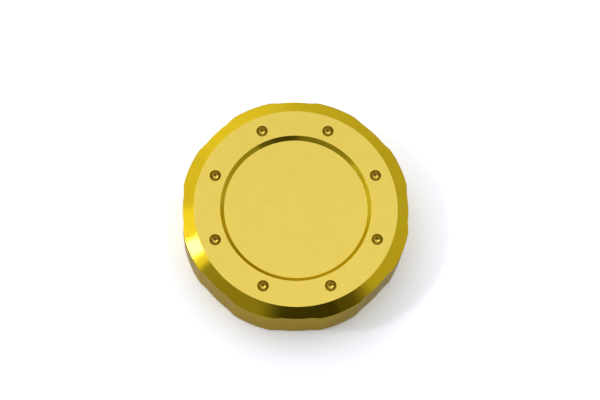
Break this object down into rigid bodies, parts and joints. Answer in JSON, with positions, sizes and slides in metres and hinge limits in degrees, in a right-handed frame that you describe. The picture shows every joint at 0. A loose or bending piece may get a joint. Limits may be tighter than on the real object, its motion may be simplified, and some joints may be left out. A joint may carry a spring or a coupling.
{
  "type": "brake fluid reservoir cap",
  "caption": "Round screw cap with a bevelled top, a plain recess, a ring of dimples and scalloped rim, over a slip ring and a rubber diaphragm.",
  "frame": {"origin": "centre of the open rim, on the cap's axis, in the plane that the cap stands on", "axes": "+Z out of the top face along the cap's axis, +X through the middle of a grip scallop"},
  "size_m": [0.059, 0.059, 0.0155],
  "materials": {
    "gold_anodised": "satin gold anodising with brighter turned bevels",
    "nylon": "matt natural nylon",
    "rubber": "matt moulded black rubber"
  },
  "bodies": {
    "root": {"cap_body": "gold_anodised", "slip_ring": "nylon", "diaphragm": "rubber"}
  },
  "joints": []
}
